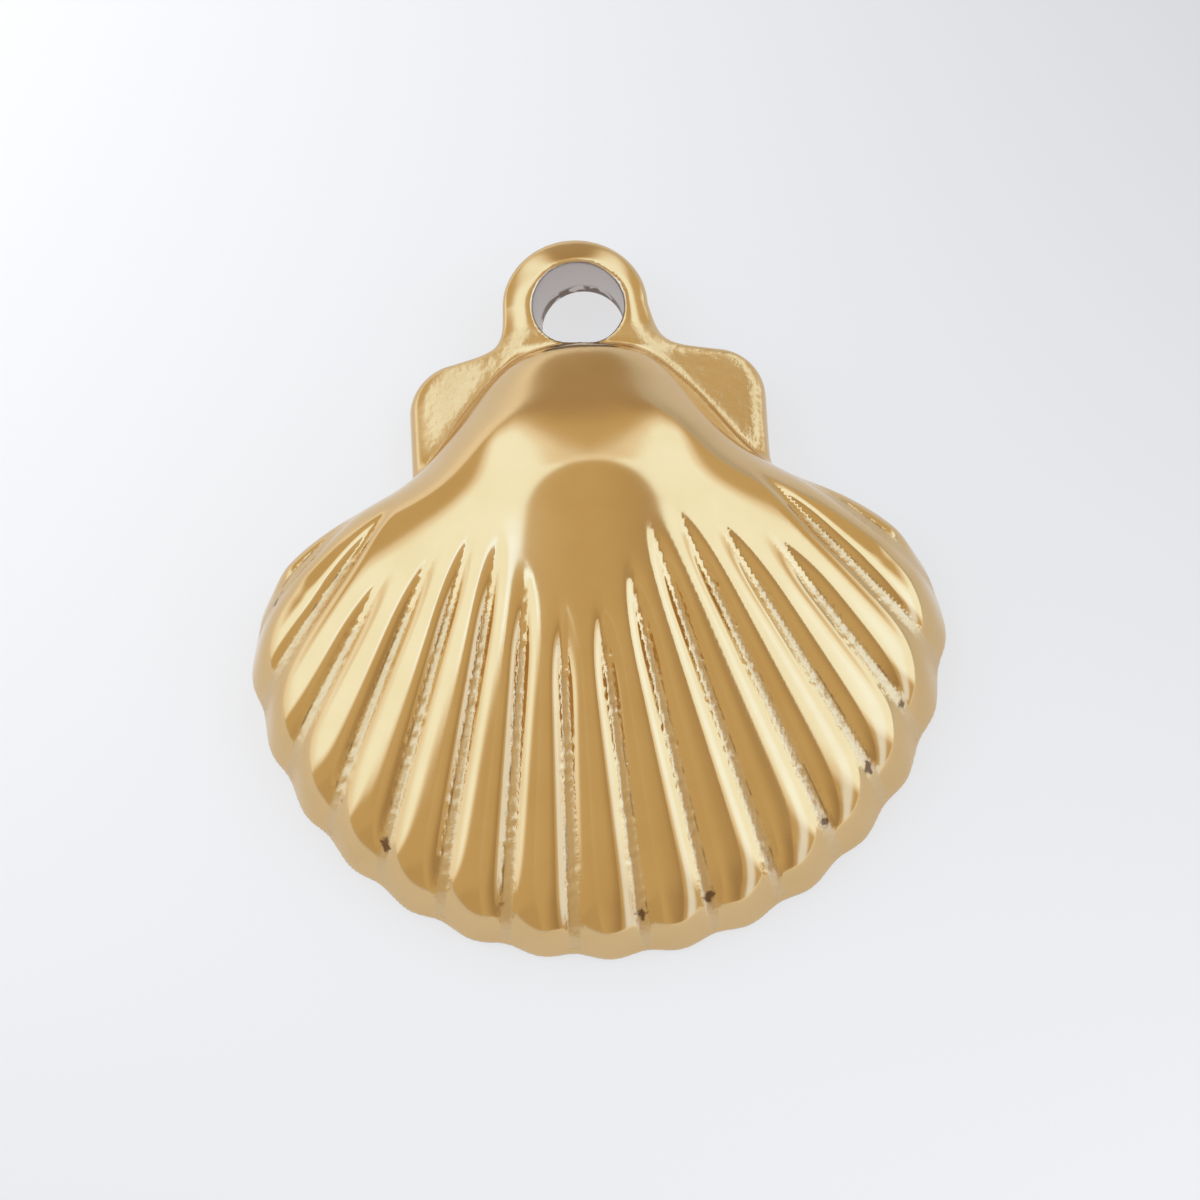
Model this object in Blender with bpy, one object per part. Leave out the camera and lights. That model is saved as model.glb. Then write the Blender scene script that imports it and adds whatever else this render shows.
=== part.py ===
"""Scallop shell charm: one small metal casting, lying face up on its flat back.

A ribbed shell dome, two ears beside its hinge, and a bored bail above them. The shell's ribs fan out
from a hub near the hinge. +Y runs from the fan's edge to the bail, +Z out of the shell's face, and z = 0 is
the back. Places are laid out in millimetres from the middle of the fan, and the finished charm is centred on
its length.
"""

import math

import bmesh
import bpy
import numpy as np

MM = 0.001

# Plan of the fan. Its rim is an arc, and its two flanks run along rays from the hub.
FAN_RADIUS = 8.02
FAN_Y = 0.35
HUB_Y = 6.5
FLANK_ANGLE = 57.5
SHOULDER_ANGLE = 9.0  # the rim turns into the flank over this angle
SHOULDER_DROP = 1.0

# The flanks draw in at a waist below the ears, at a distance from the hub.
WAIST_DEPTH = 0.46
WAIST_DISTANCE = 4.9
WAIST_REACH = 1.6

# Ribs, counted from the centre one. They widen towards the flanks, and start further out near the centre.
RIB_ANGLE = 6.4
RIB_WIDENING = 3.3e-5
RIB_DEPTH = 0.26
RIB_SHARPNESS = 0.8  # 0 makes crests and valleys alike, 1 makes wide crests and narrow valleys
RIBS_START = 6.4
RIBS_START_SIDE = 1.3
SIDE_RIB = 4.0
RIBS_GROW = 2.8
SCALLOP = 0.06

# Crown: the broad top of the dome, which falls sooner towards the umbo than towards the fan's edge.
CROWN_HEIGHT = 4.45
CROWN_Y = 1.8
CROWN_FALL = 1.44
CROWN_REACH_X = 2.85
CROWN_REACH_UMBO = 2.05
CROWN_REACH_FAN = 2.93

# The crown's sides roll over and down to the outline, in a tighter roll at the umbo.
EDGE_HEIGHT = 0.6
EDGE_SOFTNESS = 0.14
ROLL_REACH = 2.2
ROLL_REACH_UMBO = 1.15
ROLL_TIGHTENS_Y = (4.4, 6.9)
ROLL_FULLNESS = 2.7

# Umbo: the beak of the dome, a wedge in plan with a blunt end that stands over the ears.
UMBO_TOP_Y = 6.62
UMBO_APEX_Y = 8.17
UMBO_ANGLE = 45.0
UMBO_CORNER = 0.2
UMBO_MIDDLE_Y = 4.3
UMBO_END_HEIGHT = 1.6
UMBO_END_STEEPNESS = 6.0
FLANK_BLEND = 0.25
NECK_REACH = 4.5  # from the hub to the arc where the fan's grid meets the umbo's

# Rim: the fan's rounded edge, with a plain wall below it.
RIM_FOOT = 0.35
RIM_STEEPNESS = 4.0
RIM_BLEND = 0.2

# Ears: one plate under the umbo, which rises at its middle into the bail's two feet.
EAR_HALF = 4.11
EAR_LOW_Y = 3.0
EAR_TOP_Y = 6.37
EAR_CORNER = 0.95
EAR_THICKNESS = 1.5
EAR_ROUNDING = 0.4
FOOT_HALF = 1.74
FOOT_Y = 6.86
FOOT_CORNER = 0.6
FOOT_TOP_HALF = 1.45
FOOT_TOP_Y = 8.0

# Bail: a disc, whose bore is set a little towards the shell.
BAIL_X = -0.08
BAIL_Y = 7.76
BAIL_RADIUS = 1.64
BAIL_THICKNESS = 1.7
BAIL_ROUNDING = 0.32
BORE_X = 0.0
BORE_Y = 7.65
BORE_RADIUS = 1.03
BORE_RADIUS_BACK = 0.96
BORE_OVERRUN = 0.5

# How finely the faces are laid.
RIB_STATIONS = (0.0, 0.2, 0.38, 0.5, 0.62, 0.8)  # shares of one rib's pitch, from crest to crest
FLANK_STATIONS = (2.4, 1.2, 0.5, 0.0)  # degrees inside the flank
WIDEST_ANGLE = 75.0
LAST_VALLEY = 7.5
FAN_ROWS = 24
FAN_ROW_GRADING = 1.6
UMBO_STEPS = 36
UMBO_RINGS = 8
UMBO_RING_GRADING = 1.5
ARC_STEPS = 8
BAIL_STEPS = 48
BEVEL_STEPS = 3
BEVEL_PROFILE = 0.5
SHARP_ANGLE = 40.0
HALVINGS = 40  # rounds of halving in which a place on the outline is found
RIB_ANGLE_ROUNDS = 8

GOLD = (0.83, 0.60, 0.27, 1.0)
GOLD_ROUGHNESS = 0.12


def soft_least(blend, *values):
    """The least of the values, rounded over wherever two of them come within about `blend`."""
    least = np.minimum.reduce(np.broadcast_arrays(*values))
    return least - blend * np.log(sum(np.exp((least - value) / blend) for value in values))


def soft_most(blend, *values):
    return -soft_least(blend, *(-value for value in values))


def from_hub(x, y):
    """Distance and angle in degrees from the hub. Angle 0 is the centre rib, and +X is positive."""
    return np.hypot(x, HUB_Y - y), np.degrees(np.arctan2(x, HUB_Y - y))


def at_hub(distance, angle):
    """Plan point at a distance and angle from the hub."""
    return distance * math.sin(math.radians(angle)), HUB_Y - distance * math.cos(math.radians(angle))


def rib_number(angle):
    """Whole on each rib's crest, and half-way between two whole numbers in each valley."""
    return angle * (1 - RIB_WIDENING * angle * angle) / RIB_ANGLE


def rib_angle(number):
    """The angle that has this rib number."""
    angle = number * RIB_ANGLE
    for _ in range(RIB_ANGLE_ROUNDS):
        angle = number * RIB_ANGLE / (1 - RIB_WIDENING * angle * angle)
    return angle


def rim_distance(angle):
    """From the hub to the scalloped rim."""
    turn = math.radians(angle)
    drop = HUB_Y - FAN_Y
    radius = FAN_RADIUS + SCALLOP * math.cos(2 * math.pi * rib_number(angle))
    plain = drop * math.cos(turn) + math.sqrt(radius**2 - (drop * math.sin(turn)) ** 2)
    near_flank = max(0.0, 1 - (FLANK_ANGLE - abs(angle)) / SHOULDER_ANGLE)
    return plain - SHOULDER_DROP * near_flank**2


def wedge_depth(x, y, apex_y, half_angle):
    """How far a plan point is inside a wedge that opens towards -Y."""
    slope = math.radians(half_angle)
    across, along = x * math.cos(slope), (apex_y - y) * math.sin(slope)
    return soft_least(FLANK_BLEND, along - across, along + across)


def side_depth(x, y):
    """How far a plan point is inside the sides of the umbo and of the fan, which meet at the waist."""
    fan = wedge_depth(x, y, HUB_Y, FLANK_ANGLE)
    umbo = wedge_depth(x, y, UMBO_APEX_Y, UMBO_ANGLE)
    past_waist = (from_hub(x, y)[0] - WAIST_DISTANCE) / WAIST_REACH
    return soft_most(FLANK_BLEND, fan, umbo) - WAIST_DEPTH * np.exp(-(past_waist**2))


def umbo_depth(x, y):
    """How far a plan point is inside the umbo's outline."""
    return soft_least(UMBO_CORNER, UMBO_TOP_Y - y, side_depth(x, y))


def eased(low, high, value):
    """Rises smoothly from 0 at low to 1 at high."""
    share = np.clip((value - low) / (high - low), 0, 1)
    return share**2 * (3 - 2 * share)


def rib_relief(x, y):
    """How far the valleys are cut below the crests."""
    distance, angle = from_hub(x, y)
    number = rib_number(angle)
    valley = np.sin(math.pi * number) ** 2
    section = (1 - RIB_SHARPNESS) * valley + RIB_SHARPNESS * valley**2
    start = RIBS_START - RIBS_START_SIDE * eased(0, SIDE_RIB, abs(number))
    return RIB_DEPTH * section * eased(start, start + RIBS_GROW, distance)


def shell_height(x, y):
    """Height of the shell's face over the back, at plan points inside the outline."""
    reach_y = np.where(y > CROWN_Y, CROWN_REACH_UMBO, CROWN_REACH_FAN)
    spread = np.sqrt(1 + (x / CROWN_REACH_X) ** 2 + ((y - CROWN_Y) / reach_y) ** 2)
    crown = CROWN_HEIGHT - CROWN_FALL * (spread - 1)
    sides = side_depth(x, y)
    sides = (sides + np.hypot(sides, EDGE_SOFTNESS)) / 2
    reach = ROLL_REACH + (ROLL_REACH_UMBO - ROLL_REACH) * eased(*ROLL_TIGHTENS_Y, y)
    to_edge = np.clip(1 - sides / reach, 0, 1)
    roll = (1 - to_edge**ROLL_FULLNESS) ** (1 / ROLL_FULLNESS)
    face = EDGE_HEIGHT + (crown - EDGE_HEIGHT) * roll - rib_relief(x, y)
    _, angle = from_hub(x, y)
    scallop = SCALLOP * np.cos(2 * math.pi * rib_number(angle))
    rim = np.maximum(FAN_RADIUS + scallop - np.hypot(x, y - FAN_Y), 0)
    umbo_end = UMBO_END_HEIGHT + UMBO_END_STEEPNESS * (UMBO_TOP_Y - y)
    return soft_least(RIM_BLEND, face, RIM_FOOT + RIM_STEEPNESS * rim, umbo_end)


def outermost(inside, near, far):
    """The furthest value between near and far that is still inside, found by halving."""
    for _ in range(HALVINGS):
        middle = (near + far) / 2
        near, far = (middle, far) if inside(middle) else (near, middle)
    return near


def umbo_edge(angle):
    """Point of the umbo's outline, at an angle from +Y about the umbo's middle."""
    across, up = math.sin(math.radians(angle)), math.cos(math.radians(angle))

    def inside(reach):
        return umbo_depth(reach * across, UMBO_MIDDLE_Y + reach * up) > 0

    reach = outermost(inside, 0.0, UMBO_APEX_Y)
    return reach * across, UMBO_MIDDLE_Y + reach * up


def flank_limit(distance):
    """Angle of the flank at a distance from the hub."""
    return outermost(lambda angle: side_depth(*at_hub(distance, angle)) > 0, 0.0, WIDEST_ANGLE)


def fan_angles():
    """Angles of the fan's grid lines. They follow the ribs, and draw closer at the flanks."""
    numbers = [whole + share for whole in range(-8, 8) for share in RIB_STATIONS]
    ribs = [rib_angle(number) for number in numbers if abs(number) <= LAST_VALLEY]
    sides = [FLANK_ANGLE - inside for inside in FLANK_STATIONS]
    return [-side for side in reversed(sides)] + ribs + sides


def fan_place(angle, share):
    """Plan point at a share of the way from the neck to the rim, drawn in towards the centre at the waist."""
    reach = NECK_REACH + share * (rim_distance(angle) - NECK_REACH)
    drawn_in = 1 - flank_limit(reach) / FLANK_ANGLE
    return at_hub(reach, angle * (1 - drawn_in * (angle / FLANK_ANGLE) ** 2))


def raised(mesh, plan_points):
    """New vertices on the shell's face, over plan points in millimetres."""
    x, y = np.array(plan_points).T
    return [mesh.verts.new(point) for point in np.column_stack([x, y, shell_height(x, y)]) * MM]


def quad_strip(mesh, first, second):
    """Faces between two rows of vertices that run the same way."""
    for left in range(len(first) - 1):
        mesh.faces.new((first[left], second[left], second[left + 1], first[left + 1]))


def lay_fan(mesh):
    """The ribbed part of the face, from the neck arc to the rim. Returns its rows of vertices."""
    rows = []
    for row in range(FAN_ROWS + 1):
        share = 1 - (1 - row / FAN_ROWS) ** FAN_ROW_GRADING
        rows.append(raised(mesh, [fan_place(angle, share) for angle in fan_angles()]))
    for upper, lower in zip(rows, rows[1:]):
        quad_strip(mesh, upper, lower)
    return rows


def lay_umbo(mesh, neck):
    """The smooth upper part of the face, in rings that close in from the neck arc and the umbo's outline."""
    neck_plan = [(vertex.co.x / MM, vertex.co.y / MM) for vertex in neck]
    right = math.degrees(math.atan2(neck_plan[-1][0], neck_plan[-1][1] - UMBO_MIDDLE_Y))
    steps = range(1, UMBO_STEPS)
    crest_plan = [umbo_edge(right - 2 * right * step / UMBO_STEPS) for step in steps]
    crest = raised(mesh, crest_plan)
    outer = neck + crest
    for ring in range(1, UMBO_RINGS):
        share = 1 - (ring / UMBO_RINGS) ** UMBO_RING_GRADING
        plan = [(x * share, UMBO_MIDDLE_Y + (y - UMBO_MIDDLE_Y) * share) for x, y in neck_plan + crest_plan]
        inner = raised(mesh, plan)
        quad_strip(mesh, inner + inner[:1], outer + outer[:1])
        outer = inner
    middle = raised(mesh, [(0.0, UMBO_MIDDLE_Y)])[0]
    for this, following in zip(outer, outer[1:] + outer[:1]):
        mesh.faces.new((middle, this, following))


def object_from(mesh, name):
    """A named object that holds this mesh, with its faces turned out."""
    bmesh.ops.recalc_face_normals(mesh, faces=mesh.faces)
    data = bpy.data.meshes.new(name)
    mesh.to_mesh(data)
    mesh.free()
    made = bpy.data.objects.new(name, data)
    bpy.context.scene.collection.objects.link(made)
    return made


def shell_dome(name):
    """The shell without its ears: the face, a plain wall round it and the flat back."""
    mesh = bmesh.new()
    rows = lay_fan(mesh)
    lay_umbo(mesh, rows[0])
    outline = [edge for edge in mesh.edges if edge.is_boundary]
    wall = bmesh.ops.extrude_edge_only(mesh, edges=outline)["geom"]
    for part in wall:
        if isinstance(part, bmesh.types.BMVert):
            part.co.z = 0.0
    foot = [part for part in wall if isinstance(part, bmesh.types.BMEdge)]
    bmesh.ops.contextual_create(mesh, geom=foot)
    return object_from(mesh, name)


def rounded_outline(corners):
    """Plan points of a polygon whose corners, each (x, y, radius), are rounded by arcs."""
    points = []
    for index, (x, y, radius) in enumerate(corners):
        here = np.array([x, y])
        before = np.array(corners[index - 1][:2]) - here
        after = np.array(corners[(index + 1) % len(corners)][:2]) - here
        before, after = before / np.linalg.norm(before), after / np.linalg.norm(after)
        if not radius:
            points.append(tuple(here))
            continue
        half = math.acos(np.clip(before @ after, -1, 1)) / 2
        middle = here + (before + after) / np.linalg.norm(before + after) * radius / math.sin(half)
        start = here + before * radius / math.tan(half) - middle
        end = here + after * radius / math.tan(half) - middle
        sweep = math.pi - 2 * half
        for step in range(ARC_STEPS + 1):
            angle = sweep * step / ARC_STEPS
            arm = (start * math.sin(sweep - angle) + end * math.sin(angle)) / math.sin(sweep)
            points.append(tuple(middle + arm))
    return points


def plate(name, outline, thickness, rounding, both_faces=False):
    """A flat plate on the back plane, with the edges of its face rounded."""
    mesh = bmesh.new()
    back = mesh.faces.new([mesh.verts.new((x * MM, y * MM, 0.0)) for x, y in outline])
    raised_part = bmesh.ops.extrude_face_region(mesh, geom=[back], use_keep_orig=True)["geom"]
    face = next(part for part in raised_part if isinstance(part, bmesh.types.BMFace))
    bmesh.ops.translate(mesh, verts=face.verts, vec=(0, 0, thickness * MM))
    edges = list(face.edges) + (list(back.edges) if both_faces else [])
    bmesh.ops.bevel(
        mesh,
        geom=edges,
        affect="EDGES",
        offset=rounding * MM,
        segments=BEVEL_STEPS,
        profile=BEVEL_PROFILE,
    )
    return object_from(mesh, name)


def ear_plate(name):
    """Both ears in one plate, with the bail's feet rising from its top edge."""
    right = [(EAR_HALF, EAR_LOW_Y, 0), (EAR_HALF, EAR_TOP_Y, EAR_CORNER)]
    foot = [(BAIL_X + FOOT_HALF, FOOT_Y, FOOT_CORNER), (BAIL_X + FOOT_TOP_HALF, FOOT_TOP_Y, 0)]
    left_foot = [(2 * BAIL_X - x, y, radius) for x, y, radius in reversed(foot)]
    left = [(-x, y, radius) for x, y, radius in reversed(right)]
    return plate(name, rounded_outline(right + foot + left_foot + left), EAR_THICKNESS, EAR_ROUNDING)


def bail_disc(name):
    """The bail before it is bored."""
    turns = [2 * math.pi * step / BAIL_STEPS for step in range(BAIL_STEPS)]
    arms = [(BAIL_RADIUS * math.cos(turn), BAIL_RADIUS * math.sin(turn)) for turn in turns]
    outline = [(BAIL_X + x, BAIL_Y + y) for x, y in arms]
    return plate(name, outline, BAIL_THICKNESS, BAIL_ROUNDING, both_faces=True)


def bore(name):
    """Cutter for the bail's bore, a little narrower at the back."""
    mesh = bmesh.new()
    taper = (BORE_RADIUS - BORE_RADIUS_BACK) / BAIL_THICKNESS * BORE_OVERRUN
    bmesh.ops.create_cone(
        mesh,
        cap_ends=True,
        segments=BAIL_STEPS,
        radius1=(BORE_RADIUS_BACK - taper) * MM,
        radius2=(BORE_RADIUS + taper) * MM,
        depth=(BAIL_THICKNESS + 2 * BORE_OVERRUN) * MM,
    )
    made = object_from(mesh, name)
    made.location = (BORE_X * MM, BORE_Y * MM, BAIL_THICKNESS * MM / 2)
    return made


def combine(target, helper, operation):
    """Adds the helper to the target, or cuts it away, and hides the helper."""
    step = target.modifiers.new(helper.name, "BOOLEAN")
    step.operation = operation
    step.solver = "EXACT"
    step.object = helper
    helper.parent = target
    helper.hide_render = True
    helper.display_type = "WIRE"


def gold_plate():
    """Polished gold plating."""
    material = bpy.data.materials.new("gold_plate")
    material.use_nodes = True
    shader = material.node_tree.nodes["Principled BSDF"]
    shader.inputs["Base Color"].default_value = GOLD
    shader.inputs["Metallic"].default_value = 1.0
    shader.inputs["Roughness"].default_value = GOLD_ROUGHNESS
    return material


def build():
    for old in list(bpy.data.objects):
        bpy.data.objects.remove(old)
    charm = shell_dome("shell_charm")
    combine(charm, ear_plate("ears"), "UNION")
    combine(charm, bail_disc("bail"), "UNION")
    combine(charm, bore("bail_bore"), "DIFFERENCE")
    top, bottom = BAIL_Y + BAIL_RADIUS, FAN_Y - FAN_RADIUS - SCALLOP
    charm.location.y = -(top + bottom) / 2 * MM
    charm.data.materials.append(gold_plate())
    charm.data.shade_smooth()
    charm.data.set_sharp_from_angle(angle=math.radians(SHARP_ANGLE))


build()
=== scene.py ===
"""A gold-toned scallop charm: one polished casting that lies on its back under soft studio light."""
import math
import bmesh
import bpy
import numpy as np
from mathutils import Matrix, Vector


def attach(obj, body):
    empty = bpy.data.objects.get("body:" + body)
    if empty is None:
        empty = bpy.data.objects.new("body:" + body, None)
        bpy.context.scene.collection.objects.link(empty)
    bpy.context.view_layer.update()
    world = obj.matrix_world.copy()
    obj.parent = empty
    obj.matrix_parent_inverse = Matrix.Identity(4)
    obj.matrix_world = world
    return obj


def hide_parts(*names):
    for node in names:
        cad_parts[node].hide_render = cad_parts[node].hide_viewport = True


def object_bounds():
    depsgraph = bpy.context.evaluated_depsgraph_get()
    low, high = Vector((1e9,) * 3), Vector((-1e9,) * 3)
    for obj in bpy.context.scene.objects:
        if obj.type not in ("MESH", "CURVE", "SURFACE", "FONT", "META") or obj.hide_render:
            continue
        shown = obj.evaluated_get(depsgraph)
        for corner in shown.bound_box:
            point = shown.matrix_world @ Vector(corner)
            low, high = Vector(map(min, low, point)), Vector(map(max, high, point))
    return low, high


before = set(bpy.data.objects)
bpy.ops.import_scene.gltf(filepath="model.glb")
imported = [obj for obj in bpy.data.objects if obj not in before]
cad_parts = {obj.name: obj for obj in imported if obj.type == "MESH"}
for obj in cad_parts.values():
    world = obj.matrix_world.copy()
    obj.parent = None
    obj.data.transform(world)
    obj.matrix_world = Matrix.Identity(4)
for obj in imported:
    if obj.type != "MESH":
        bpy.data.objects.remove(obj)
cad_low, cad_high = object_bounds()

MM = 0.001
DEGREES = 180 / math.pi

# The casting, in millimetres from the middle of the fan, with angles in degrees. What a pair is named after
# is absent at the first value and complete at the second.

# The fan: its round edge, the scallop that each rib adds to it, and how far its wall leans in with height.
FAN_RADIUS = 8.02
FAN_Y = 0.35
SCALLOP = 0.06
RIM_LEAN = 0.26

# The flanks, the waist below the ears and the umbo.
HINGE_Y = 6.5
FLANK_ANGLE = 57.5
WAIST_DEPTH = 0.46
WAIST_DISTANCE = 4.9
WAIST_REACH = 1.6
UMBO_APEX_Y = 8.17
UMBO_ANGLE = 45.0
UMBO_TOP_Y = 6.52

# The crown's height, and the roll that takes it down to the edge.
CROWN_HEIGHT = 4.45
CROWN_Y = 1.8
CROWN_FALL = 1.44
CROWN_REACH_X = 2.85
CROWN_REACH_UMBO = 2.05
CROWN_REACH_FAN = 2.93
EDGE_HEIGHT = 0.6
EDGE_SOFTNESS = 0.14
ROLL_REACH = 2.2
ROLL_REACH_UMBO = 1.05
ROLL_WIDENS_Y = (7.0, 4.4)
ROLL_FULLNESS = 2.7

# The ribs, counted from the one nearest the middle, and the grooves between them.
RIBS_CENTRE_X = -0.43
RIBS_CENTRE_Y = 7.14
RIB_ANGLE = 6.25
RIB_WIDENING = 2.5e-5
RIB_SHIFT = 0.23
RIB_DEPTH = 0.225
RIB_DEPTH_DIP = 0.2
RIB_DEPTH_SIDE = 0.2
CREST_FLATNESS = 2.8
FLOOR_STARTS = 0.425
FLOOR_BLEND = 0.07
RIBS_START = 7.2
RIBS_START_SIDE = 1.5
RIBS_SIDE_ANGLE = 20.0
RIBS_START_FLANK = 1.6
FLANK_RIBS = (5.6, 6.6)
RIBS_GROW = 2.6
LAST_RIB = 8.6
LAST_RIB_FADE = 0.6

# The rows of beads along the grooves: their size, and how they wander, swell and break off.
BEAD_LENGTH = 0.31
BEAD_WIDTH = 0.07
BEAD_HEIGHT = 0.014
ROW_WANDER = 0.06
ROW_WANDER_RATE = 2.7
DRIFT_RATE = 1.9
DRIFT_PER_VALLEY = 2.6
ROW_UNEVENNESS = 2.2
ROW_SHARE = 0.3
ROW_CONTRAST = 0.9
BREAK_RATE = 0.83
BREAK_UNEVENNESS = 1.4
BREAK_UNEVENNESS_RATE = 2.3

# The plate behind the umbo, whose two ends are the ears.
EAR_X = 0.06
EAR_HALF = 4.14
EAR_TOP_Y = 7.07
EAR_SLOPE = 0.15
EAR_TILT = -0.025
EAR_CORNER = 0.95
EAR_LOW_Y = 3.0
EAR_THICKNESS = 1.55
EAR_LEAN = 0.04
EAR_FALL = 0.24
EAR_FALL_RIGHT = 0.08
EAR_FALL_STARTS = 2.2

# The bail's front falls outwards, most at its top, and rounds off at its sides.
BAIL_X = -0.08
BAIL_Y = 7.76
BAIL_RADIUS = 1.68
BAIL_TOP = 1.8
BAIL_BOTTOM = 0.15
BAIL_LEAN = -0.04
BAIL_DROP = 0.385
BAIL_DROP_SIDE = 0.27
BAIL_UPWARD = (-0.1, 1.0)
BAIL_ROUNDED_LEFT = 0.5
BAIL_ROUNDS_X = (-0.3, 1.0)
FOOT_FLARE = 0.22
FOOT_LOW_Y = 5.8
FOOT_FALL = 0.06

# The bail's bore, which narrows and leans a little towards the back.
BORE_Y = 7.63
BORE_LEAN = 0.06
BORE_RADIUS = 1.05
BORE_RADIUS_BACK = 0.93

# How far one form melts into the next. A sloping face counts for less than its height over a point, because
# the way out to it is shorter.
FLANK_BLEND = 0.25
UMBO_BLEND = 0.3
PLAN_BLEND = 0.5
RIM_BLEND = 0.28
FLANK_EDGE = 0.1
FLANK_EDGE_REACH = 0.8
FACE_STEEPNESS = 0.8
EAR_LOW_BLEND = 0.1
EAR_ROUNDING = 0.17
FOOT_BLEND = 0.22
BAIL_ROUNDING = 0.05
SHELL_TO_EAR = 0.12
BORE_EDGE = 0.05
BACK_EDGE = 0.07

# The mesh laid over the casting.
MESH_LOW = (-8.6, -8.4, -0.25)
MESH_HIGH = (8.6, 10.0, 5.0)
MESH_STEP = (0.075, 0.075, 0.09)
SETTLING_ROUNDS = 4
SLOPE_PROBE = 1e-3
LEAST_STEEPNESS = 0.05
BACK_TOLERANCE = 0.004

# Where each finish begins and is complete: by height, by place in plan, or by distance from a form.
GROOVE_LOWEST = 0.3
EAR_OVER_SHELL = (-0.1, 0.15)
EAR_FACE_HEIGHT = (0.9, 1.2)
EAR_FACE_Y = (7.3, 6.8)
UMBO_Y = (3.6, 5.2)
BORE_WALL = (0.06, 0.0)
BORE_WALL_HEIGHT = (BAIL_TOP + 0.1, BAIL_TOP)
# Where the painted shade at the foot of the bore's wall begins and is complete.
BORE_FOOT_SHADE_WALL = (0.16, 0.1)
BORE_FOOT_SHADE_HEIGHT = (BAIL_BOTTOM + 0.5, BAIL_BOTTOM + 0.35)

# The plating's colours, the bare metal that shows beside it, and the brown of the painted shade.
GOLD = (0.68, 0.475, 0.235, 1.0)
GOLD_DEEP = (0.62, 0.41, 0.18, 1.0)
GOLD_DULL = (0.64, 0.49, 0.30, 1.0)
BARE_METAL = (0.60, 0.55, 0.53, 1.0)
PAINTED_SHADE_BROWN = (0.12, 0.06, 0.03, 1.0)
DEEP_SHARE = 0.35
DEEP_PATCHES = (0.35, 0.75)
DULL_SHARE = 0.5
PAINTED_SHADE_SHARE = 0.85

# Its grain, in lumps to the millimetre, and its roughness, which is the sum of what each place adds.
FINE_GRAIN = 7.0
PEEL_GRAIN = 3.2
PATCH_GRAIN = 0.9
POLISH_GRAIN = 14.0
GRAIN_MIDDLE = 0.5
GRAINED_GROOVE = (0.55, 0.95)
GROOVE_FLOOR = (0.8, 0.98)
FLOOR_GRAIN_DEPTH = 0.012
EAR_GRAIN_DEPTH = 0.026
EAR_FINE_SHARE = 0.6
ROUGH_POLISHED = 0.09
ROUGH_UMBO = 0.06
ROUGH_FLOOR = 0.2
ROUGH_GRAINED = 0.04
ROUGH_EAR = 0.14
ROUGH_BORE = 0.22
ROUGH_POLISH_MARKS = 0.04

# Painted shade: a dark broken line beside the middle of each groove's floor, away from the middle rib.
MID_VALLEY = 0.5
MIDDLE_RIB = (-0.5, 0.5)
SHADE_LINE_OFF_MIDDLE = 0.085
SHADE_LINE_EDGE = (0.03, 0.0075)
SHADE_LINE_GRAIN = 1.7
SHADE_LINE_BREAKS = (0.47, 0.6)
SHADE_LINE_DARKNESS = 0.8
SHADE_LINE_ENDS = (0.7, 0.9)

# Painted shade of small pits at the ends of some grooves, by distance in from the fan's round edge.
PIT_SHADE_FROM_EDGE = 0.72
PIT_SHADE_NARROWNESS = 1.3
PIT_SHADE_RAGGEDNESS = 0.25
PIT_SHADE_GROOVE = (0.1, 0.4)
PIT_SHADE_SIZE = (0.16, 0.08)
PIT_SHADE_GRAIN = 0.8
PIT_SHADE_CHANCE = (0.51, 0.56)

# Painted shade at the foot of the bore's wall, in short lengths.
BORE_FOOT_SHADE_CHANCE = (0.42, 0.5)

# The paper glows by itself, a little less towards its far right.
PAPER = (0.20, 0.20, 0.20, 1.0)
PAPER_SHADE = (0.395, 0.40, 0.415, 1.0)
PAPER_LIGHT = (0.895, 0.905, 0.93, 1.0)
PAPER_ROUGHNESS = 0.9
PAPER_FADE = 0.0042
PAPER_FADE_FORWARD = 0.0004
PAPER_MIDDLE = 0.5
PAPER_CONTRAST = 2
PAPER_HALF = 1500.0
PAPER_GAP = 0.02

# The light tent. Directions are in degrees off overhead: to the side, with the right positive, and ahead,
# with the far end positive. Lights run from 0.4, the tent's darkest colour, to 1.6, its panels' white.
TENT_MIDDLE = 0.5
RIGHT_HALF = (-10, 10)
LEAST_LEVEL = 1e-6
WALL_LIGHT = 0.65
NEAR_FALL = 0.08
NEAR_AHEAD = (-36, -50)

OPENING_REACH = 27
OPENING_AHEAD = 55
OPENING_ROUNDNESS = 2.2
OPENING_EDGE = (0.98, 1.02)
OPENING_NARROWING = 6
OPENING_NARROWS_AHEAD = (-2, -16)
OPENING_WIDENING = 4
OPENING_WIDENS_AHEAD = (10, -8)
OPENING_LIGHT = 0.66
OPENING_FALL_PER_DEGREE = 0.006
OPENING_NEAR_FALL = 0.09
OPENING_NEAR_AHEAD = (-26, -48)

BORDER_LIGHT = 0.3
BORDER_STARTS = (1.0, 1.03)
BORDER_ENDS = (1.1, 1.04)
BORDER_AHEAD = (30, 44)

PANEL_LIGHT = 0.95
PANEL_LIGHT_RIGHT = 0.02
PANEL_STARTS = -22
PANEL_STARTS_RIGHT = -30
PANEL_FULL = -12
PANEL_FALL = 0.3
PANEL_FALL_SIDE = (-56, -90)

GAP_AHEAD = (12, 32)
GAP_LEANS_AHEAD = (18, 60)
GAP_STARTS = 42
GAP_STARTS_FAR = 33
GAP_SOFTNESS = 12
GAP_ENDS = (78, 62)

TOP_STARTS = 52
TOP_FULL = 72
TOP_STARTS_LEAN = 0.8
TOP_FULL_LEAN = 0.6
TOP_LEANS_TO = 26
TOP_ENDS = (74, 50)
DIP_SHARE = 0.6
DIP_AHEAD = (48, 56)
DIP_SIDE = (22, 8)
FAR_FALL = 0.25
FAR_AHEAD = (70, 84)
FAR_ENDS = (56, 34)

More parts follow.
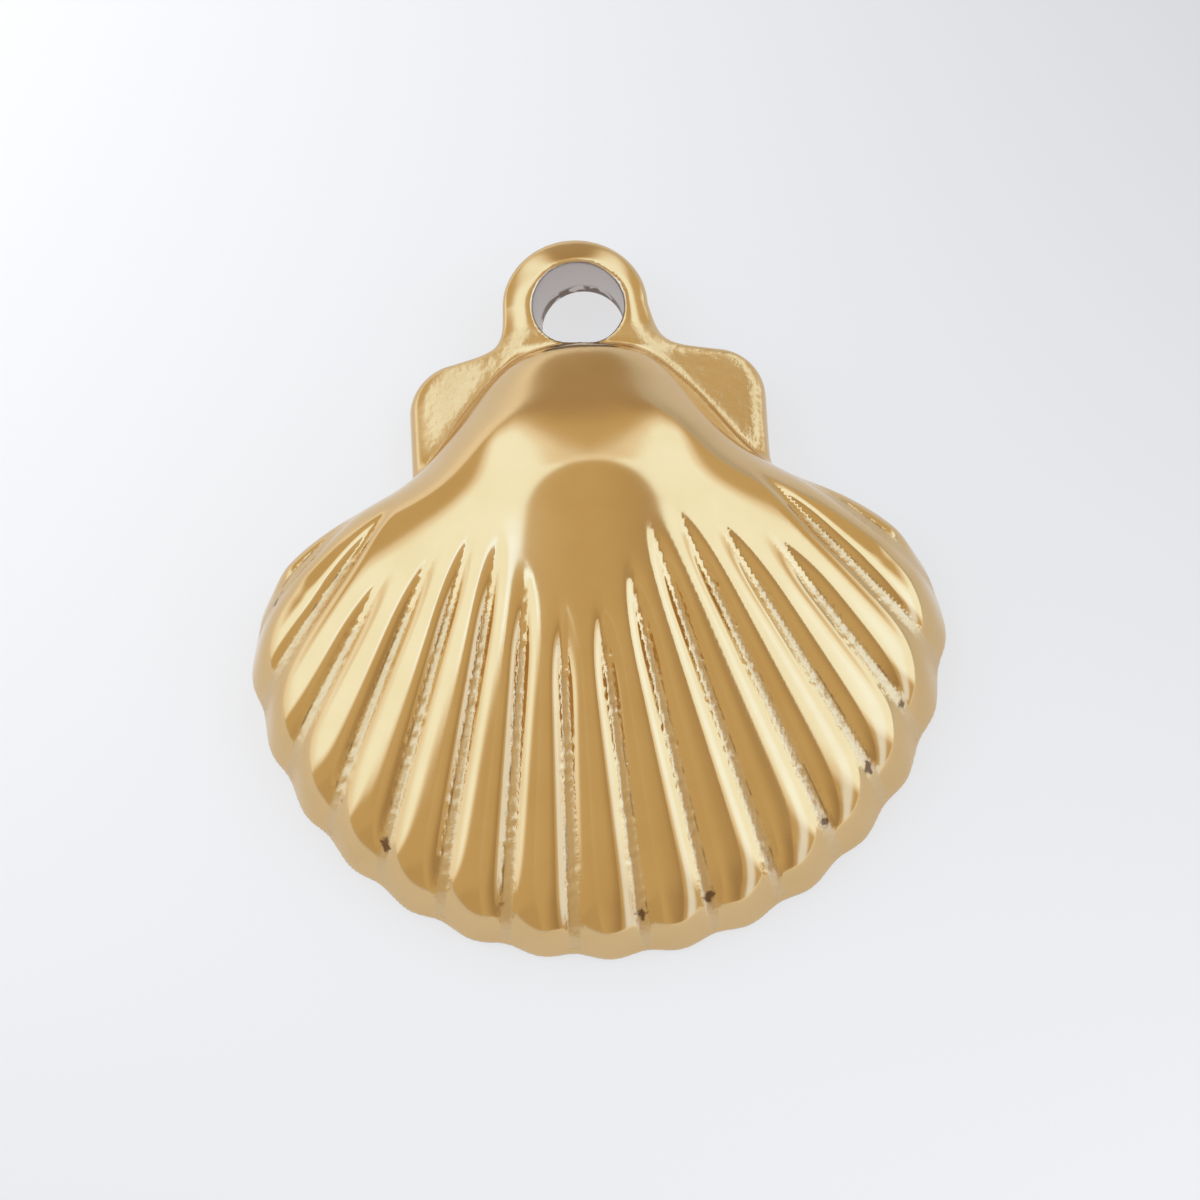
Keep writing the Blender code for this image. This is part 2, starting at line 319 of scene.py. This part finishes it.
LEFT_STRIP_STARTS = (-26, -28)
LEFT_STRIP_ENDS = (-33, -30)
LEFT_STRIP_NEAR = (-18, -10)
LEFT_STRIP_FAR = (24, 6)
RIGHT_STRIP_SHARE = 0.5
RIGHT_STRIP_STARTS = (38, 50)
RIGHT_STRIP_ENDS = (74, 60)
RIGHT_STRIP_FAR = (14, 2)

# The tent's colour at each level of light.
DARK_TENT = (0.49, 0.38, 0.24, 1.0)
DIM_TENT = (0.75, 0.63, 0.40, 1.0)
LIT_TENT = (1.14, 1.19, 1.24, 1.0)
PANEL_WHITE = (1.32, 1.64, 2.05, 1.0)
STRIP_WHITE = (1.45, 2.0, 3.2, 1.0)
DARK_TO_DIM = (0.4, 0.66)
DIM_TO_LIT = (0.66, 1.2)
LIT_TO_WHITE = (1.2, 1.6)

# The camera: its tilt towards the fan's edge, its turn to the right, its roll and its framing.
CAMERA_TILT = 20.0
CAMERA_TURN = 4.0
CAMERA_ROLL = 3.05
CAMERA_DISTANCE = 150.0
CAMERA_RIGHT = 0.046
CAMERA_UP = 0.941
FRAME_WIDTH = 27.55
SENSOR_WIDTH = 36.0
NEAREST_SEEN = 10.0

# Where the solid's bail ends in plan, which sets how far the charm is moved to lie centred on its length.
CAD_TOP_Y = 9.4

charm_shift_y = cad_high.y / MM - CAD_TOP_Y


def soft_least(blend, *fields):
    """The least of several fields, with the corner between them rounded by about one blend."""
    least = fields[0]
    for field in fields[1:]:
        least = np.minimum(least, field)
    total = sum(np.exp((least - field) / blend) for field in fields)
    return least - blend * np.log(total)


def soft_most(blend, *fields):
    """The most of several fields, with the corner between them filled by about one blend."""
    return -soft_least(blend, *[-field for field in fields])


def eased(low, high, value):
    """Rises from 0 at low to 1 at high, with a smooth start and end."""
    share = np.clip((value - low) / (high - low), 0, 1)
    return share ** 3 * (10 - 15 * share + 6 * share ** 2)


def rib_place(x, y):
    """The rib number at a point, whole on the crests, and the point's distance from the ribs' centre."""
    aside = x - RIBS_CENTRE_X
    down = RIBS_CENTRE_Y - y
    angle = np.degrees(np.arctan2(aside, down))
    return angle * (1 - RIB_WIDENING * angle ** 2) / RIB_ANGLE - RIB_SHIFT, np.hypot(aside, down)


def groove(x, y):
    """0 on the crests of the ribs and on the smooth crown, 1 along the floors of the full grooves."""
    rib, distance = rib_place(x, y)
    off_crest = np.abs(rib - np.round(rib))
    fall = (off_crest / FLOOR_STARTS) ** CREST_FLATNESS
    shape = soft_least(FLOOR_BLEND, fall, np.ones_like(fall))
    aside = np.minimum(np.abs(rib) * RIB_ANGLE / RIBS_SIDE_ANGLE, 2)
    starts = RIBS_START - RIBS_START_SIDE * np.sin(math.pi / 2 * aside) ** 2
    starts = starts - RIBS_START_FLANK * eased(*FLANK_RIBS, np.abs(rib))
    last = np.clip((LAST_RIB - np.abs(rib)) / LAST_RIB_FADE, 0, 1)
    return shape * eased(0, RIBS_GROW, distance - starts) * last


def beads(x, y):
    """The cast grain along the groove floors: broken rows of small beads that wander from side to side."""
    rib, distance = rib_place(x, y)
    valley = np.floor(rib)
    drift = DRIFT_RATE * distance + DRIFT_PER_VALLEY * valley
    row = np.sin(2 * math.pi * distance / BEAD_LENGTH + ROW_UNEVENNESS * np.sin(drift) + valley)
    breaks = np.sin(BREAK_RATE * drift + BREAK_UNEVENNESS * np.sin(BREAK_UNEVENNESS_RATE * drift))
    broken = np.clip(ROW_SHARE + ROW_CONTRAST * breaks, 0, 1)
    middle = MID_VALLEY + ROW_WANDER * np.sin(ROW_WANDER_RATE * drift + valley)
    beside = (rib - valley - middle) / BEAD_WIDTH
    return BEAD_HEIGHT * groove(x, y) * np.exp(-beside ** 2) * broken * row


def wedge(x, y, apex_y, half_angle):
    """How deep a point lies inside a wedge that opens towards the fan's edge."""
    half = math.radians(half_angle)
    along = (apex_y - y) * math.sin(half)
    return soft_least(FLANK_BLEND, along - x * math.cos(half), along + x * math.cos(half))


def within_sides(x, y):
    """How deep a point lies inside the umbo and the flanks, which draw in at a waist below the ears."""
    fan = wedge(x, y, HINGE_Y, FLANK_ANGLE)
    umbo = wedge(x, y, UMBO_APEX_Y, UMBO_ANGLE)
    past_waist = (np.hypot(x, HINGE_Y - y) - WAIST_DISTANCE) / WAIST_REACH
    return soft_most(FLANK_BLEND, fan, umbo) - WAIST_DEPTH * np.exp(-past_waist ** 2)


def shell_height(x, y):
    """Height of the ribbed face over the back: a crown whose sides roll down to the outline."""
    reach_y = np.where(y > CROWN_Y, CROWN_REACH_UMBO, CROWN_REACH_FAN)
    far = np.sqrt(1 + (x / CROWN_REACH_X) ** 2 + ((y - CROWN_Y) / reach_y) ** 2)
    crown = CROWN_HEIGHT - CROWN_FALL * (far - 1)
    inside = within_sides(x, y)
    inside = (inside + np.hypot(inside, EDGE_SOFTNESS)) / 2
    reach = ROLL_REACH_UMBO + (ROLL_REACH - ROLL_REACH_UMBO) * eased(*ROLL_WIDENS_Y, y)
    to_edge = np.clip(1 - inside / reach, 0, 1)
    roll = (1 - to_edge ** ROLL_FULLNESS) ** (1 / ROLL_FULLNESS)
    to_side = np.minimum(np.abs(rib_place(x, y)[0]) / LAST_RIB, 1) ** 2
    depth = RIB_DEPTH - RIB_DEPTH_DIP * to_side + RIB_DEPTH_SIDE * to_side ** 2
    return EDGE_HEIGHT + (crown - EDGE_HEIGHT) * roll - depth * groove(x, y) + beads(x, y)


def shell_body(x, y, z):
    """The ribbed dome: inside the scalloped rim and the sides, and under the ribbed face."""
    rib = rib_place(x, y)[0]
    rim = FAN_RADIUS + SCALLOP * np.cos(2 * math.pi * rib) - np.hypot(x, y - FAN_Y)
    sides = within_sides(x, y)
    plan = soft_least(PLAN_BLEND, rim - RIM_LEAN * z, sides)
    plan = soft_least(UMBO_BLEND, plan, UMBO_TOP_Y - y)
    edge = RIM_BLEND + (FLANK_EDGE - RIM_BLEND) * eased(0, FLANK_EDGE_REACH, rim - sides)
    return soft_least(edge, FACE_STEEPNESS * (shell_height(x, y) - z), plan)


def ears(x, y, z):
    """The plate behind the umbo, whose two ends are the ears."""
    x = x - EAR_X
    top = EAR_TOP_Y + EAR_TILT * x - EAR_SLOPE * np.abs(x)
    beyond_x = np.maximum(np.abs(x) - EAR_HALF + EAR_CORNER, 0)
    beyond_y = np.maximum(y - top + EAR_CORNER, 0)
    outline = soft_least(EAR_LOW_BLEND, EAR_CORNER - np.hypot(beyond_x, beyond_y), y - EAR_LOW_Y)
    fall = np.where(x > 0, EAR_FALL_RIGHT, EAR_FALL) * np.maximum(np.abs(x) - EAR_FALL_STARTS, 0)
    face = EAR_THICKNESS + EAR_LEAN * x - fall
    return soft_least(EAR_ROUNDING, outline, face - z)


def bail(x, y, z):
    """The ring above the umbo, whose two sides run straight down into the ears, the right one flared."""
    below = np.maximum(BAIL_Y - y, 0)
    above = y - BAIL_Y
    aside = x - BAIL_X
    flare = FOOT_FLARE * below * (aside > 0)
    outward = np.hypot(aside, np.maximum(above, 0)) - flare
    share = (outward - BORE_RADIUS) / (BAIL_RADIUS - BORE_RADIUS)
    upward = eased(*BAIL_UPWARD, above / np.maximum(np.hypot(aside, above), BORE_RADIUS))
    drop = BAIL_DROP_SIDE + (BAIL_DROP - BAIL_DROP_SIDE) * upward
    rounded = BAIL_ROUNDED_LEFT + (1 - BAIL_ROUNDED_LEFT) * eased(*BAIL_ROUNDS_X, aside)
    rounded = rounded * (1 - upward)
    share = share * (1 - rounded) + rounded * np.maximum(share, 0) ** 2
    face = BAIL_TOP + BAIL_LEAN * x - drop * share - FOOT_FALL * below
    return soft_least(BAIL_ROUNDING, BAIL_RADIUS - outward, face - z, z - BAIL_BOTTOM, y - FOOT_LOW_Y)


def outside_bore(x, y, z):
    """How far a point lies outside the bore, which narrows and leans a little towards the back."""
    taper = np.clip(z / BAIL_TOP, 0, 1)
    radius = BORE_RADIUS_BACK + (BORE_RADIUS - BORE_RADIUS_BACK) * taper
    return np.hypot(x - BORE_LEAN * (1 - taper), y - BORE_Y) - radius


def charm(x, y, z):
    """The whole casting as one field: above 0 in the metal, 0 on its surface."""
    plate = soft_most(FOOT_BLEND, ears(x, y, z), bail(x, y, z))
    bored = soft_least(BORE_EDGE, plate, outside_bore(x, y, z))
    metal = soft_most(SHELL_TO_EAR, shell_body(x, y, z), bored)
    return soft_least(BACK_EDGE, metal, z)


def slope(field, points):
    """The gradient of a field at each point."""
    found = np.empty_like(points)
    for axis, step in enumerate(np.eye(3) * SLOPE_PROBE):
        found[:, axis] = field(*(points + step).T) - field(*(points - step).T)
    return found / (2 * SLOPE_PROBE)


def crossings(values, axis):
    """Grid edges along one axis that pass through the surface, where they do, and which way."""
    ahead = np.moveaxis(values, axis, 0)
    first, second = ahead[:-1], ahead[1:]
    crossed = np.moveaxis((first > 0) != (second > 0), 0, axis)
    share = np.moveaxis(first / np.where(first == second, 1, first - second), 0, axis)
    place = np.argwhere(crossed)
    outward = np.moveaxis(first > 0, 0, axis)[crossed]
    return place, share[crossed], outward


def net_over(field, low, high, step):
    """A mesh of four-sided faces over a field's surface: a point in each cell that the surface passes
    through, and a face round each grid edge that it crosses."""
    lines = [np.arange(a, b + s, s) for a, b, s in zip(low, high, step)]
    values = field(*np.meshgrid(*lines, indexing="ij", sparse=True))
    cells = tuple(n - 1 for n in values.shape)
    total = np.zeros(cells + (3,))
    count = np.zeros(cells, int)
    rings = []
    for axis in range(3):
        place, share, outward = crossings(values, axis)
        where = place.astype(float)
        where[:, axis] += share
        ring = []
        for back, aside in ((1, 1), (0, 1), (0, 0), (1, 0)):
            cell = place.copy()
            cell[:, (axis + 1) % 3] -= back
            cell[:, (axis + 2) % 3] -= aside
            np.add.at(total, tuple(cell.T), where)
            np.add.at(count, tuple(cell.T), 1)
            ring.append(cell)
        rings.append((ring, outward))
    used = count > 0
    number = np.cumsum(used).reshape(cells) - 1
    points = np.array(low) + total[used] / count[used][:, None] * np.array(step)
    faces = []
    for ring, outward in rings:
        face = np.stack([number[tuple(cell.T)] for cell in ring], 1)
        face[~outward] = face[~outward][:, ::-1]
        faces.append(face)
    return points, np.concatenate(faces)


def settled(field, points):
    """Moves points onto the surface along its slope."""
    for _ in range(SETTLING_ROUNDS):
        lean = slope(field, points)
        steepness = np.maximum((lean ** 2).sum(1), LEAST_STEEPNESS)
        points = points - (field(*points.T) / steepness)[:, None] * lean
    return points


def close_back(mesh):
    """Gives the flat back no more faces than its outline needs."""
    bm = bmesh.new()
    bm.from_mesh(mesh)
    flat = [f for f in bm.faces if max(v.co.z for v in f.verts) < BACK_TOLERANCE * MM]
    bmesh.ops.delete(bm, geom=flat, context="FACES")
    edges = [e for e in bm.edges if e.is_boundary]
    bmesh.ops.triangle_fill(bm, edges=edges, use_beauty=True, normal=(0, 0, -1))
    bm.to_mesh(mesh)
    bm.free()


def in_plan(mesh):
    """The mesh's points in millimetres from the middle of the fan."""
    flat = np.empty(len(mesh.vertices) * 3, np.float32)
    mesh.vertices.foreach_get("co", flat)
    return flat.reshape(-1, 3) / MM - np.array((0, charm_shift_y, 0))


def store(mesh, name, values):
    """Keeps one value for each of the mesh's points."""
    kept = mesh.attributes.new(name, "FLOAT", "POINT")
    kept.data.foreach_set("value", np.asarray(values, np.float32))


def mark_zones(mesh, points):
    """Keeps on the mesh what the finish needs to know of each place."""
    x, y, z = points.T
    plate_over_shell = ears(x, y, z) - shell_body(x, y, z)
    off_bore = outside_bore(x, y, z)
    ear_face = eased(*EAR_FACE_HEIGHT, z) * eased(*EAR_FACE_Y, y)
    store(mesh, "rib", rib_place(x, y)[0])
    store(mesh, "groove", groove(x, y) * (z > GROOVE_LOWEST))
    store(mesh, "to_edge", FAN_RADIUS - np.hypot(x, y - FAN_Y))
    store(mesh, "umbo", eased(*UMBO_Y, y))
    store(mesh, "ear", eased(*EAR_OVER_SHELL, plate_over_shell) * ear_face)
    store(mesh, "bore", eased(*BORE_WALL, off_bore) * eased(*BORE_WALL_HEIGHT, z))
    # Painted shade at the foot of the bore's wall.
    store(mesh, "bore_foot_shade", eased(*BORE_FOOT_SHADE_WALL, off_bore) * eased(*BORE_FOOT_SHADE_HEIGHT, z))


def cast_charm():
    """The visible casting, as one smooth closed mesh with its finish's zones kept on it."""
    points, faces = net_over(charm, MESH_LOW, MESH_HIGH, MESH_STEP)
    points = settled(charm, points)
    mesh = bpy.data.meshes.new("scallop_casting")
    placed = (points + np.array((0, charm_shift_y, 0))) * MM
    placed[:, 2] = np.maximum(placed[:, 2], 0)
    mesh.from_pydata(placed, [], faces)
    close_back(mesh)
    mesh.validate()
    on_mesh = in_plan(mesh)
    mark_zones(mesh, on_mesh)
    mesh.shade_smooth()
    outward = -slope(charm, on_mesh)
    outward /= np.linalg.norm(outward, axis=1)[:, None]
    mesh.normals_split_custom_set_from_vertices(outward)
    piece = bpy.data.objects.new("scallop_casting", mesh)
    bpy.context.scene.collection.objects.link(piece)
    return piece


# Where a Mix node keeps its share and its colours among its sockets.
MIX_SHARE = 0
COLOUR_A = 6
COLOUR_B = 7
MIXED_COLOUR = 2


class Socket:
    """A node's output, wrapped so that shader maths reads as arithmetic."""

    def __init__(self, recipe, socket):
        self.recipe = recipe
        self.socket = socket

    def __add__(self, other):
        return self.recipe.maths("ADD", self, other)

    def __sub__(self, other):
        return self.recipe.maths("SUBTRACT", self, other)

    def __rsub__(self, other):
        return self.recipe.maths("SUBTRACT", other, self)

    def __mul__(self, other):
        return self.recipe.maths("MULTIPLY", self, other)

    def __truediv__(self, other):
        return self.recipe.maths("DIVIDE", self, other)

    def __rtruediv__(self, other):
        return self.recipe.maths("DIVIDE", other, self)

    def __pow__(self, other):
        return self.recipe.maths("POWER", self, other)

    __radd__ = __add__
    __rmul__ = __mul__


class Recipe:
    """The node tree of a material or of the world."""

    def __init__(self, owner):
        owner.use_nodes = True
        self.tree = owner.node_tree
        self.tree.nodes.clear()

    def node(self, kind, settings=None, sockets=None, output=0):
        """Adds one node with its settings, then the values or links of its sockets."""
        made = self.tree.nodes.new(kind)
        for name, value in (settings or {}).items():
            setattr(made, name, value)
        for name, value in (sockets or {}).items():
            if isinstance(value, Socket):
                self.tree.links.new(value.socket, made.inputs[name])
            else:
                made.inputs[name].default_value = value
        return Socket(self, made.outputs[output]) if len(made.outputs) else made

    def maths(self, operation, *values):
        return self.node("ShaderNodeMath", {"operation": operation}, dict(enumerate(values)))

    def kept(self, name):
        """A value stored on the mesh."""
        return self.node("ShaderNodeAttribute", {"attribute_name": name}, output="Fac")

    def place(self):
        """The place on the object, in metres."""
        return self.node("ShaderNodeTexCoord", output="Object")

    def part(self, vector, axis):
        """One axis of a place or a direction."""
        return self.node("ShaderNodeSeparateXYZ", {}, {0: vector}, output=axis)

    def noise(self, place, lumps_per_mm, detail=2.0):
        sockets = {"Vector": place, "Scale": lumps_per_mm / MM, "Detail": detail}
        return self.node("ShaderNodeTexNoise", {}, sockets)

    def ramp(self, value, low, high, at_low=0.0, at_high=1.0):
        """Eases from one value at low to another at high, and stays there beyond."""
        sockets = {"Value": value, "From Min": low, "From Max": high, "To Min": at_low, "To Max": at_high}
        return self.node("ShaderNodeMapRange", {"interpolation_type": "SMOOTHSTEP"}, sockets)

    def blend(self, share, first, second):
        """A colour between two others."""
        sockets = {MIX_SHARE: share, COLOUR_A: first, COLOUR_B: second}
        return self.node("ShaderNodeMix", {"data_type": "RGBA"}, sockets, output=MIXED_COLOUR)

    def bump(self, height, depth, under=None):
        """Relief of a depth in millimetres, laid over another relief where one is given."""
        sockets = {"Height": height, "Distance": depth * MM, "Strength": 1.0}
        if under is not None:
            sockets["Normal"] = under
        return self.node("ShaderNodeBump", {}, sockets)


def groove_shade_line(recipe, place, rib, in_rib, to_edge, floor):
    """Painted shade: a dark broken line in each groove's floor."""
    outer = recipe.ramp(rib, *MIDDLE_RIB, -1, 1)
    off_line = recipe.maths("ABSOLUTE", in_rib - (MID_VALLEY + outer * SHADE_LINE_OFF_MIDDLE))
    line_strength = recipe.ramp(recipe.noise(place, SHADE_LINE_GRAIN, detail=1.5), *SHADE_LINE_BREAKS, 0.0, SHADE_LINE_DARKNESS)
    return recipe.ramp(off_line, *SHADE_LINE_EDGE) * floor * line_strength * recipe.ramp(to_edge, *SHADE_LINE_ENDS)


def groove_pit_shade(recipe, place, in_rib, to_edge, groove_here, grain):
    """Painted shade of a small ragged pit where some grooves run out at the edge."""
    off_edge = recipe.maths("ABSOLUTE", to_edge - PIT_SHADE_FROM_EDGE)
    off_middle = recipe.maths("ABSOLUTE", in_rib - MID_VALLEY)
    off_pit_shade = off_edge + PIT_SHADE_NARROWNESS * off_middle + (grain - GRAIN_MIDDLE) * PIT_SHADE_RAGGEDNESS
    pit_shade = recipe.ramp(groove_here, *PIT_SHADE_GROOVE) * recipe.ramp(off_pit_shade, *PIT_SHADE_SIZE)
    return pit_shade * recipe.ramp(recipe.noise(place, PIT_SHADE_GRAIN, detail=0.0), *PIT_SHADE_CHANCE)


def gold_plating():
    """Polished gold-toned plate: grained in the grooves and on the ears, a little softer on the umbo, with
    bare grey metal in the bore, and painted shade along the grooves, in the pits and at the bore's foot."""
    material = bpy.data.materials.new("gold_plating")
    recipe = Recipe(material)
    place = recipe.place()
    groove_here = recipe.kept("groove")
    ear_here = recipe.kept("ear")
    bore_here = recipe.kept("bore")
    to_edge = recipe.kept("to_edge")
    rib = recipe.kept("rib")
    in_rib = recipe.maths("FRACT", rib)
    grained = recipe.ramp(groove_here, *GRAINED_GROOVE)
    floor = recipe.ramp(groove_here, *GROOVE_FLOOR)
    grain = recipe.noise(place, FINE_GRAIN)
    peel = recipe.noise(place, PEEL_GRAIN, detail=1.5)
    patches = recipe.noise(place, PATCH_GRAIN, detail=3.0)
    polish = recipe.noise(place, POLISH_GRAIN)

    # Painted shade in one dark brown: a line in each groove, spots where grooves end, the bore's foot.
    shade_line = groove_shade_line(recipe, place, rib, in_rib, to_edge, floor)
    pit_shade = groove_pit_shade(recipe, place, in_rib, to_edge, groove_here, grain)
    bore_foot_shade = recipe.kept("bore_foot_shade") * recipe.ramp(peel, *BORE_FOOT_SHADE_CHANCE)
    painted_shade = recipe.maths("MAXIMUM", recipe.maths("MAXIMUM", shade_line, pit_shade), bore_foot_shade)

    colour = recipe.blend(recipe.ramp(patches, *DEEP_PATCHES, 0.0, DEEP_SHARE), GOLD, GOLD_DEEP)
    colour = recipe.blend(floor * DULL_SHARE, colour, GOLD_DULL)
    colour = recipe.blend(bore_here, colour, BARE_METAL)
    # Painted shade: darkens the colour towards brown in the groove lines, the pits and at the bore's foot.
    colour = recipe.blend(painted_shade * PAINTED_SHADE_SHARE, colour, PAINTED_SHADE_BROWN)

    rough = ROUGH_POLISHED + recipe.kept("umbo") * ROUGH_UMBO + floor * ROUGH_FLOOR + grained * ROUGH_GRAINED
    rough = rough + ear_here * ROUGH_EAR + bore_here * ROUGH_BORE + polish * ROUGH_POLISH_MARKS

    skin = recipe.bump(grain * grained, FLOOR_GRAIN_DEPTH)
    skin = recipe.bump((peel + grain * EAR_FINE_SHARE) * ear_here, EAR_GRAIN_DEPTH, under=skin)
    sockets = {"Base Color": colour, "Metallic": 1.0, "Roughness": rough, "Normal": skin}
    surface = recipe.node("ShaderNodeBsdfPrincipled", {}, sockets)
    recipe.node("ShaderNodeOutputMaterial", {}, {"Surface": surface})
    return material


def paper():
    """Pale, glowing backdrop paper, lightest towards its far left."""
    material = bpy.data.materials.new("pale_paper")
    recipe = Recipe(material)
    place = recipe.place()
    across = recipe.part(place, "X") * (1 / MM)
    forward = recipe.part(place, "Y") * (1 / MM)
    fade = across * (forward * PAPER_FADE_FORWARD + PAPER_FADE)
    share = recipe.maths("MAXIMUM", PAPER_MIDDLE - fade * PAPER_CONTRAST, 0)
    glow = recipe.blend(recipe.maths("MINIMUM", share, 1), PAPER_SHADE, PAPER_LIGHT)
    sockets = {"Base Color": PAPER, "Roughness": PAPER_ROUGHNESS}
    sockets.update({"Emission Color": glow, "Emission Strength": 1.0})
    surface = recipe.node("ShaderNodeBsdfPrincipled", {}, sockets)
    recipe.node("ShaderNodeOutputMaterial", {}, {"Surface": surface})
    return material


def lay_paper():
    """The sheet that the charm lies on."""
    half = PAPER_HALF * MM
    corners = [(-half, -half, 0), (half, -half, 0), (half, half, 0), (-half, half, 0)]
    mesh = bpy.data.meshes.new("backdrop")
    mesh.from_pydata(corners, [], [(0, 1, 2, 3)])
    mesh.materials.append(paper())
    sheet = bpy.data.objects.new("backdrop", mesh)
    sheet.location.z = -PAPER_GAP * MM
    bpy.context.scene.collection.objects.link(sheet)


def off_overhead(recipe):
    """How far a direction lies to the side of overhead, and how far ahead of it, in degrees."""
    direction = recipe.node("ShaderNodeTexCoord", output="Generated")
    across, forward, upward = (recipe.part(direction, axis) for axis in "XYZ")
    level = recipe.maths("MAXIMUM", 1 - upward * upward, LEAST_LEVEL) ** 0.5
    spread = recipe.maths("ARCCOSINE", upward) * (DEGREES / level)
    return across * spread, forward * spread


def opening_arch(recipe, ahead, off_middle, right):
    """Below 1 inside the arched opening overhead, above 1 outside it."""
    narrowing = OPENING_NARROWING * recipe.ramp(ahead, *OPENING_NARROWS_AHEAD) * (1 - right)
    widening = OPENING_WIDENING * recipe.ramp(ahead, *OPENING_WIDENS_AHEAD) * right
    reach = OPENING_REACH - narrowing + widening
    beside = (off_middle / reach) ** OPENING_ROUNDNESS
    onward = (recipe.maths("MAXIMUM", ahead, 0) / OPENING_AHEAD) ** OPENING_ROUNDNESS
    return (beside + onward) ** (1 / OPENING_ROUNDNESS)


def side_panels(recipe, side, ahead, off_middle, right):
    """The bright panels, with the dim gap in each, and what cuts them off towards the far end."""
    panel = recipe.ramp(ahead, PANEL_STARTS + (PANEL_STARTS_RIGHT - PANEL_STARTS) * right, PANEL_FULL)
    light = PANEL_LIGHT + PANEL_LIGHT_RIGHT * right - PANEL_FALL * recipe.ramp(side, *PANEL_FALL_SIDE)
    gap_starts = recipe.ramp(ahead, *GAP_LEANS_AHEAD, GAP_STARTS, GAP_STARTS_FAR)
    gap = recipe.ramp(ahead, *GAP_AHEAD) * recipe.ramp(off_middle, gap_starts, gap_starts + GAP_SOFTNESS)
    gap = gap * recipe.ramp(off_middle, *GAP_ENDS)
    lean = recipe.maths("MINIMUM", off_middle, TOP_LEANS_TO)
    top = recipe.ramp(ahead, TOP_STARTS + lean * TOP_STARTS_LEAN, TOP_FULL + lean * TOP_FULL_LEAN)
    top = top * recipe.ramp(off_middle, *TOP_ENDS)
    dip = recipe.ramp(ahead, *DIP_AHEAD) * recipe.ramp(off_middle, *DIP_SIDE)
    return panel * light * (1 - gap) * (1 - top) * (1 - DIP_SHARE * dip)


def bright_strips(recipe, side, ahead):
    """Where the panels burn out to white: a narrow strip on the left and a wide, softer one on the right."""
    left = recipe.ramp(side, *LEFT_STRIP_STARTS) * recipe.ramp(side, *LEFT_STRIP_ENDS)
    left = left * recipe.ramp(ahead, *LEFT_STRIP_NEAR) * recipe.ramp(ahead, *LEFT_STRIP_FAR)
    right = recipe.ramp(side, *RIGHT_STRIP_STARTS) * recipe.ramp(side, *RIGHT_STRIP_ENDS)
    right = right * recipe.ramp(ahead, *RIGHT_STRIP_FAR) * RIGHT_STRIP_SHARE
    return recipe.maths("MAXIMUM", left, right)


def surroundings():
    """What the polished metal sees: a light tent with a bright panel on each side and a dim warm opening
    overhead, darker at its far end and low in front."""
    world = bpy.data.worlds.new("studio_tent")
    recipe = Recipe(world)
    side, ahead = off_overhead(recipe)
    off_middle = recipe.maths("ABSOLUTE", side - TENT_MIDDLE)
    right = recipe.ramp(side, *RIGHT_HALF)
    arch = opening_arch(recipe, ahead, off_middle, right)
    border = recipe.ramp(arch, *BORDER_STARTS) * recipe.ramp(arch, *BORDER_ENDS)
    border = border * recipe.ramp(ahead, *BORDER_AHEAD)
    far = recipe.ramp(ahead, *FAR_AHEAD) * recipe.ramp(off_middle, *FAR_ENDS)
    near = recipe.ramp(ahead, *NEAR_AHEAD)
    around = WALL_LIGHT + side_panels(recipe, side, ahead, off_middle, right)
    around = around - FAR_FALL * far - NEAR_FALL * near + border * BORDER_LIGHT
    inside = OPENING_LIGHT - side * OPENING_FALL_PER_DEGREE
    inside = inside - OPENING_NEAR_FALL * recipe.ramp(ahead, *OPENING_NEAR_AHEAD)
    light = inside + recipe.ramp(arch, *OPENING_EDGE) * (around - inside)
    colour = recipe.blend(recipe.ramp(light, *DARK_TO_DIM), DARK_TENT, DIM_TENT)
    colour = recipe.blend(recipe.ramp(light, *DIM_TO_LIT), colour, LIT_TENT)
    colour = recipe.blend(recipe.ramp(light, *LIT_TO_WHITE), colour, PANEL_WHITE)
    colour = recipe.blend(bright_strips(recipe, side, ahead), colour, STRIP_WHITE)
    shine = recipe.node("ShaderNodeBackground", {}, {"Color": colour, "Strength": 1.0})
    recipe.node("ShaderNodeOutputWorld", {}, {"Surface": shine})
    bpy.context.scene.world = world


def set_camera():
    """Looks down on the ribbed face from the side of the fan's edge."""
    tilt, turn, roll = (math.radians(a) for a in (CAMERA_TILT, CAMERA_TURN, CAMERA_ROLL))
    back = Vector((math.sin(turn) * math.sin(tilt), -math.cos(turn) * math.sin(tilt), math.cos(tilt)))
    right = Vector((0, 1, 0)).cross(back).normalized()
    up = back.cross(right)
    rolled_right = math.cos(roll) * right - math.sin(roll) * up
    rolled_up = math.sin(roll) * right + math.cos(roll) * up
    data = bpy.data.cameras.new("camera")
    data.sensor_width = SENSOR_WIDTH
    data.lens = SENSOR_WIDTH * CAMERA_DISTANCE / FRAME_WIDTH
    data.clip_start = NEAREST_SEEN * MM
    camera = bpy.data.objects.new("camera", data)
    aim = Vector((0, charm_shift_y, 0)) + CAMERA_RIGHT * rolled_right + CAMERA_UP * rolled_up
    turned = Matrix((rolled_right, rolled_up, back)).transposed().to_4x4()
    camera.matrix_world = Matrix.Translation((aim + CAMERA_DISTANCE * back) * MM) @ turned
    bpy.context.scene.collection.objects.link(camera)
    bpy.context.scene.camera = camera


casting = cast_charm()
casting.data.materials.append(gold_plating())
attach(casting, "root")
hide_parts("shell_charm")
lay_paper()
surroundings()
set_camera()
bpy.context.scene.view_settings.view_transform = "Standard"
